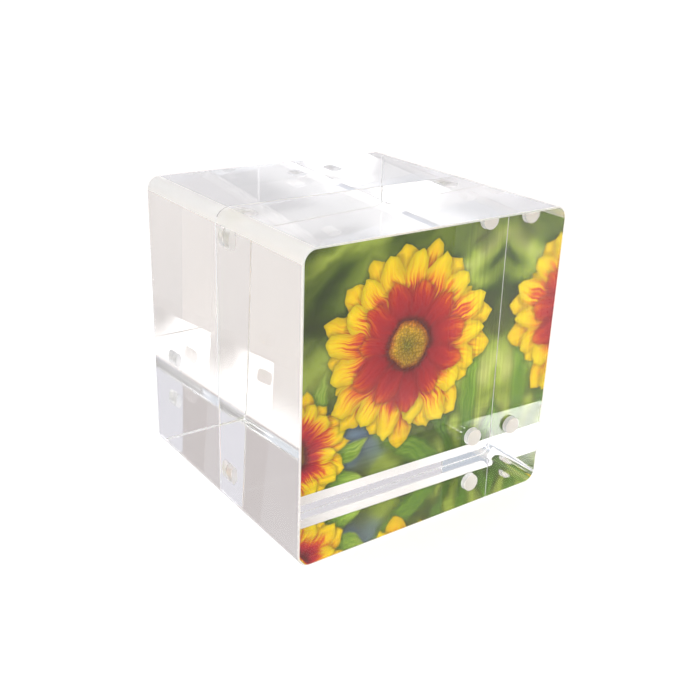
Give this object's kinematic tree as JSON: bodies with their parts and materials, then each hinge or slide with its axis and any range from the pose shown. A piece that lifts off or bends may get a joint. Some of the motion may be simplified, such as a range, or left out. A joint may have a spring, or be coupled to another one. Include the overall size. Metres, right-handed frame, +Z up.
{
  "type": "acrylic block frame",
  "caption": "Cube-shaped clear acrylic photo frame: a front and a rear block held face to face by small magnets in blind pockets, with a printed card in the seam.",
  "frame": {"origin": "on the table, under the middle of the seam between the two blocks", "axes": "-Y towards the viewer, out of the picture side; +Y through both blocks, the shortest side; +X to the viewer's right; +Z up"},
  "size_m": [0.1016, 0.0974, 0.1016],
  "materials": {
    "clear_acrylic": "polished",
    "photo_paper": "satin",
    "nickel_plating": "polished"
  },
  "bodies": {
    "rear_half": {"rear_block": "clear_acrylic", "rear_magnet_top_left": "nickel_plating", "rear_magnet_top_right": "nickel_plating", "rear_magnet_bottom_left": "nickel_plating", "rear_magnet_bottom_right": "nickel_plating"},
    "front_half": {"front_block": "clear_acrylic", "front_magnet_top_left": "nickel_plating", "front_magnet_top_right": "nickel_plating", "front_magnet_bottom_left": "nickel_plating", "front_magnet_bottom_right": "nickel_plating"},
    "print": {"photo_print": "photo_paper"}
  },
  "joints": [
    {"name": "front_half_pull", "type": "slide", "parent": "rear_half", "child": "front_half", "axis": [0, -1, 0], "range_m": [0, 0.08]},
    {"name": "print_lift", "type": "slide", "parent": "rear_half", "child": "print", "axis": [0, 0, 1], "range_m": [0, 0.105]}
  ]
}
